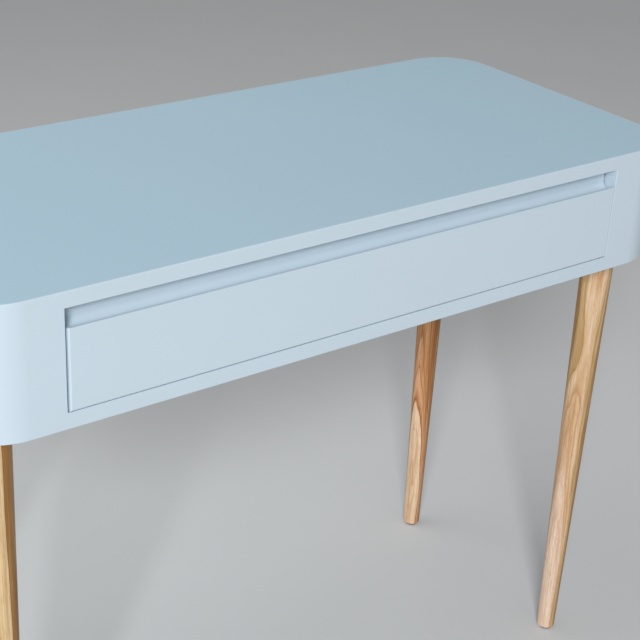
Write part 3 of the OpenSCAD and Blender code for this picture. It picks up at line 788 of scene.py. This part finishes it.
def rolled_outline(path, thick, bend, steps=4):
    """Outline of a strip of even thickness that follows a path with round right-angled bends."""

    def offset_line(sign):
        line = []
        for i, point in enumerate(path):
            here = Vector(point)
            if i in (0, len(path) - 1):
                other = Vector(path[1] if i == 0 else path[-2])
                run = (other - here if i == 0 else here - other).normalized()
                line.append(here + sign * thick / 2 * Vector((-run.y, run.x)))
                continue
            into = (here - Vector(path[i - 1])).normalized()
            out = (Vector(path[i + 1]) - here).normalized()
            turn = into.x * out.y - into.y * out.x
            side_in = Vector((-into.y, into.x)) * (1 if turn > 0 else -1)
            side_out = Vector((-out.y, out.x)) * (1 if turn > 0 else -1)
            middle = here + (side_in + side_out) * bend
            reach = bend - thick / 2 if (turn > 0) == (sign > 0) else bend + thick / 2
            first = math.atan2(-side_in.y, -side_in.x)
            sweep = math.radians(90) * (1 if turn > 0 else -1)
            turns = [first + sweep * k / steps for k in range(steps + 1)]
            line += [middle + reach * Vector((math.cos(t), math.sin(t))) for t in turns]
        return line

    return offset_line(1) + offset_line(-1)[::-1]


steel = zinc_plate("slide_zinc_steel", (0.60, 0.62, 0.64))
dark_steel = zinc_plate("cage_steel", (0.42, 0.43, 0.45))
ball_steel = zinc_plate("ball_steel", (0.80, 0.81, 0.83), 6.0)
rubber = moulded_nylon("bumper_rubber", (0.030, 0.030, 0.030), 0.70)
strip = 0.0012
half = strip / 2
bend = 0.0009
turned_lip = 0.0012
for side, name in ((-1, "left"), (1, "right")):
    for member, body in (("outer", "desk"), ("middle", "slide_middle_" + name), ("inner", "drawer")):
        low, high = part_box("slide_" + member + "_" + name)
        # The web stands on the partition's side, and on the drawer's side for the inner
        # member, whose flanges end plain. The others have a lip turned in at each end.
        web_high = (side > 0) != (member == "inner")
        web = high.x - half if web_high else low.x + half
        end = low.x + half if web_high else high.x - half
        flange_end = end
        if member == "inner":
            flange_end += half if end > web else -half
        path = [(flange_end, low.z + half), (web, low.z + half),
                (web, high.z - half), (flange_end, high.z - half)]
        if member != "inner":
            path = [(end, low.z + strip + turned_lip)] + path + [(end, high.z - strip - turned_lip)]
        outline = [(x, low.y, z) for x, z in rolled_outline(path, strip, bend)]
        channel = as_piece("slide_" + member + "_" + name + "_rolled",
                           drawn_out(outline, (0, high.y - low.y, 0)), steel)
        fit_piece(channel, body, "slide_" + member + "_" + name)
    paint_node("outer_cage_" + name, dark_steel)
    paint_node("inner_cage_" + name, dark_steel)
    paint_node("slide_bumper_" + name, rubber)

# ---- Bearing balls ----
# Hardened steel balls, eight to a row, two rows to a cage. They roll between
# two members, so a cage runs half as far along the one as the other does.


def ball_row_tree():
    """A ball at every point."""
    tree, given, made = new_tree("ball_row", [
        ("Ball radius", "NodeSocketFloat", 0.0016),
        ("Finish", "NodeSocketMaterial", None),
    ])
    ball = put(tree, "GeometryNodeMeshUVSphere",
               {"Segments": 20, "Rings": 12, "Radius": given["Ball radius"]})
    places = put(tree, "GeometryNodeInstanceOnPoints",
                 {"Points": given["Geometry"], "Instance": ball.outputs[0]})
    end_tree(tree, made, places.outputs[0], given["Finish"])
    return tree


ball_tree = ball_row_tree()
balls_in_row = 8
for cage in ("outer", "inner"):
    for name in ("left", "right"):
        low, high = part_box(f"{cage}_balls_{name}")
        radius = (high.x - low.x) / 2
        run = high.y - low.y - 2 * radius
        mesh = bpy.data.meshes.new("ball_places")
        mesh.from_pydata([((low.x + high.x) / 2, low.y + radius + run * i / (balls_in_row - 1), z)
                          for i in range(balls_in_row) for z in (low.z + radius, high.z - radius)], [], [])
        row = grow(f"{cage}_balls_{name}_set", mesh, ball_tree, {"Ball radius": radius, "Finish": ball_steel})
        fit_piece(smooth(row), f"{cage}_cage_{name}", f"{cage}_balls_{name}")

# ---- Slide screws ----
# Small countersunk screws fix the outer members to the partitions and the
# inner members to the drawer's sides, three to a member.

screw_inset = 0.036
for member, body, outward in (("outer", "desk", 1), ("inner", "drawer", -1)):
    low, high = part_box(f"slide_{member}_right")
    face = high.x - strip if outward > 0 else low.x + strip
    length = high.y - low.y
    height = (low.z + high.z) / 2
    spots = [((side * face, low.y + at, height), (side * outward, 0, 0))
             for side in (-1, 1) for at in (screw_inset, length / 2, length - screw_inset)]
    drive_screws(f"slide_{member}_screws_set", body, f"slide_{member}_screws", spots,
                 shank=0.00175, head=0.003325, length=0.010, recess=0.0009, seed=23)

# ---- Drawer box ----
# Four foil-faced boards joined with beech dowels, with a groove near the
# lower edge for a bottom sheet of white-faced hardboard. A beech batten
# stiffens the sheet from below.


def foil_board(name, tone):
    """Printed foil on board: a faint linen weave over a soft grain."""
    finish, tree, shader = new_finish(name)
    weave = put(tree, "ShaderNodeTexWave",
                {"Vector": place_on(tree), "Scale": 160.0, "Distortion": 2.0, "Detail": 2.0},
                wave_type="BANDS", bands_direction="Z").outputs["Fac"]
    grain = noise(tree, place_on(tree, (0.05, 0.05, 1.0)), 420.0, 3.0, 0.6)
    foil = blend_tones(tree, spread(tree, grain, 0.35, 0.65, 0.0, 0.5), tone, scaled(tone, 0.90))
    foil = blend_tones(tree, spread(tree, weave, 0.0, 1.0, 0.0, 0.12), foil, scaled(tone, 1.06))
    dress(tree, shader, foil, spread(tree, grain, 0.3, 0.7, 0.42, 0.52), weave, 0.08, 0.00005)
    return finish


def eased_board(name, outline, along, low, high, finish, ease):
    """A section drawn out along X or Y, with all its sharp edges eased."""
    if along == "y":
        shape = drawn_out([(across, low, z) for across, z in outline], (0, high - low, 0))
    else:
        shape = drawn_out([(low, across, z) for across, z in outline], (high - low, 0, 0))
    ease_edges(shape, sharp_edges(shape, 40), ease)
    return as_piece(name, shape, finish)


foil = foil_board("foil_faced_board", (0.680, 0.660, 0.600))
sheet_low, sheet_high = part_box("drawer_bottom")
groove_deep = 0.005
groove_play = 0.00005
board_ease = 0.0005


def grooved_section(outer, inner, low_z, high_z):
    """A board's section with the bottom sheet's groove in its inner face."""
    cut = inner + (groove_deep if outer > inner else -groove_deep)
    return [(outer, low_z), (outer, high_z), (inner, high_z), (inner, sheet_high.z + groove_play),
            (cut, sheet_high.z + groove_play), (cut, sheet_low.z - groove_play),
            (inner, sheet_low.z - groove_play), (inner, low_z)]


for side, name in ((-1, "left"), (1, "right")):
    low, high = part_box("drawer_side_" + name)
    outer, inner = (low.x, high.x) if side < 0 else (high.x, low.x)
    section = grooved_section(outer, inner, low.z, high.z)
    fit_piece(eased_board(f"drawer_side_{name}_board", section, "y", low.y, high.y, foil, board_ease),
              "drawer", "drawer_side_" + name)
for node, outer_is_low in (("drawer_box_front", True), ("drawer_back", False)):
    low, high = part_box(node)
    outer, inner = (low.y, high.y) if outer_is_low else (high.y, low.y)
    section = grooved_section(outer, inner, low.z, high.z)
    fit_piece(eased_board(node + "_board", section, "x", low.x, high.x, foil, board_ease),
              "drawer", node)


def faced_hardboard(name, tone):
    """Hardboard with a white printed face."""
    finish, tree, shader = new_finish(name)
    place = place_on(tree)
    fleck = noise(tree, place, 900.0, 3.0, 0.6)
    cloud = noise(tree, place, 9.0, 2.0)
    face = blend_tones(tree, spread(tree, fleck, 0.4, 0.7, 0.0, 0.25), tone, scaled(tone, 0.85))
    face = blend_tones(tree, spread(tree, cloud, 0.3, 0.7, 0.0, 0.4), face, scaled(tone, 0.95))
    dress(tree, shader, face, spread(tree, fleck, 0.3, 0.7, 0.40, 0.50), fleck, 0.12, 0.00006)
    return finish


def section_of(low, high):
    """The plain rectangle, in X and Z, of a board that runs from front to back."""
    return [(low.x, low.z), (high.x, low.z), (high.x, high.z), (low.x, high.z)]


white_face = faced_hardboard("white_faced_hardboard", (0.740, 0.735, 0.710))
brown_face = fibreboard("hardboard_back", (0.240, 0.140, 0.070))
bottom_sheet = eased_board("drawer_bottom_hardboard", section_of(sheet_low, sheet_high), "y",
                           sheet_low.y, sheet_high.y, white_face, 0.0002)
bottom_sheet.data.materials.append(brown_face)
for face in bottom_sheet.data.polygons:
    if face.normal.z < 0.5:
        face.material_index = 1
fit_piece(bottom_sheet, "drawer", "drawer_bottom")

low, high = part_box("drawer_batten")
batten = eased_board("drawer_batten_beech", section_of(low, high), "y", low.y, high.y, beech_deep, 0.001)
fit_piece(batten, "drawer", "drawer_batten")
paint_node("drawer_dowels", beech_across)

# ---- Drawer front ----
# A thick lacquered board without a handle. A cove is routed along the back
# of its upper edge and leaves a thin lip in front, which the fingers reach
# over and pull.

low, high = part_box("drawer_front")
finger_gap = 0.021
lip_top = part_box("top_panel")[0].z - finger_gap
face_ease = 0.0024
lip_ease = 0.0006
board_arris = 0.0003
lip_thick = 0.0034
lip_rise = 0.006
cove_radius = 0.0085
cove_half = math.sqrt(cove_radius ** 2 - (cove_radius - lip_rise) ** 2)
cove_y = low.y + lip_thick + cove_half
cove_z = lip_top - lip_rise + cove_radius
cove_start = math.asin(-cove_half / cove_radius)
cove_steps = 28
behind = [(cove_y + cove_radius * math.sin(t), cove_z - cove_radius * math.cos(t))
          for t in [cove_start + (math.pi / 2 - cove_start) * i / cove_steps for i in range(cove_steps + 1)]]
behind += [(cove_y + cove_radius, high.z), (high.y, high.z), (high.y, low.z)]


def eased(face_y, edge_z, side, radius, reach):
    """The rounded edge of the face, from the face back to where it runs out, kept behind the reach in Y."""
    steps = [face_y + radius * (1 - math.sin(t)) for t in quarter_turn(8)]
    steps = [max(y, reach) for y in reversed(steps)]
    falls = [radius - math.sqrt(max(radius ** 2 - max(face_y + radius - y, 0.0) ** 2, 0.0)) for y in steps]
    return [(y, edge_z - side * fall) for y, fall in zip(steps, falls)]


def drawer_front_board(name, low, high, top_z, behind, ease, top_ease, arris, finish):
    """The front's section drawn out along X; its face is rounded at all four edges and mitres there."""
    shape = bmesh.new()
    loops = []
    ends = [(low.x + ease * (1 - math.cos(t)), low.y + ease * (1 - math.sin(t))) for t in quarter_turn(8)]
    ends += [(low.x + high.x - x, reach) for x, reach in reversed(ends)]
    for x, reach in ends:
        lower = eased(low.y, low.z, -1, ease, reach)
        upper = eased(low.y, top_z, 1, top_ease, reach)
        loops.append([shape.verts.new((x, y, z)) for y, z in lower[::-1] + upper + behind])
    skin_between(shape, loops)
    bmesh.ops.remove_doubles(shape, verts=shape.verts, dist=1e-7)
    bmesh.ops.recalc_face_normals(shape, faces=shape.faces)
    ease_edges(shape, sharp_edges(shape, 30), arris)
    return as_piece(name, shape, finish)


front = drawer_front_board("drawer_front_lacquered", low, high, lip_top, behind, face_ease, lip_ease,
                           board_arris, lacquer)
fit_piece(front, "drawer", "drawer_front")

# ---- Drawer front screws ----
# Countersunk screws driven from inside the drawer, through the box's front
# board and into the lacquered front.

box_back_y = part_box("drawer_box_front")[1].y
low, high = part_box("drawer_front_screws")
head = 0.0038
inner_pair = 0.120
spots = [((side * at, box_back_y, z), (0, -1, 0)) for side in (-1, 1) for at in (inner_pair, high.x - head)
         for z in (low.z + head, high.z - head)]
drive_screws("drawer_front_screws_set", "drawer", "drawer_front_screws", spots,
             shank=0.002, head=head, length=0.028, recess=0.0012, seed=31)

# ---- Studio ----
# A plain pale floor, a soft window light from the front left, a weak one under
# the ceiling and an even sky. None of it is part of the desk.

floor_reach = 9
floor_mesh = bpy.data.meshes.new("floor")
floor_mesh.from_pydata([(-floor_reach, -floor_reach, 0), (floor_reach, -floor_reach, 0),
                        (floor_reach, floor_reach, 0), (-floor_reach, floor_reach, 0)], [], [(0, 1, 2, 3)])
floor = bpy.data.objects.new("floor", floor_mesh)
bpy.context.scene.collection.objects.link(floor)
floor_finish, tree, shader = new_finish("pale_floor")
cloud = noise(tree, place_on(tree), 3.0, 3.0)
tree.links.new(blend_tones(tree, cloud, (0.72, 0.72, 0.71), (0.76, 0.76, 0.75)), shader.inputs["Base Color"])
shader.inputs["Roughness"].default_value = 0.8
floor.data.materials.append(floor_finish)


def soft_light(name, place, aim, size, power, tone):
    """A square soft box that points at a spot."""
    data = bpy.data.lights.new(name, "AREA")
    data.shape = "SQUARE"
    data.size = size
    data.energy = power
    data.color = tone
    lamp = bpy.data.objects.new(name, data)
    lamp.location = place
    lamp.rotation_euler = (Vector(aim) - Vector(place)).to_track_quat("-Z", "Y").to_euler()
    bpy.context.scene.collection.objects.link(lamp)


soft_light("window_left", place=(-4.05, -4.85, 3.95), aim=(0.0, 0.0, 0.7), size=1.6, power=388.0,
           tone=(0.94, 0.97, 1.0))
soft_light("ceiling", place=(-0.8, 0.6, 2.7), aim=(-0.2, 0.1, 0.7), size=1.8, power=14.0,
           tone=(0.94, 0.98, 1.0))

world = bpy.data.worlds.new("even_sky")
bpy.context.scene.world = world
world.use_nodes = True
sky = world.node_tree.nodes["Background"]
sky.inputs["Color"].default_value = (0.97, 0.98, 1.0, 1.0)
sky.inputs["Strength"].default_value = 0.27

bpy.context.scene.view_settings.view_transform = "Standard"
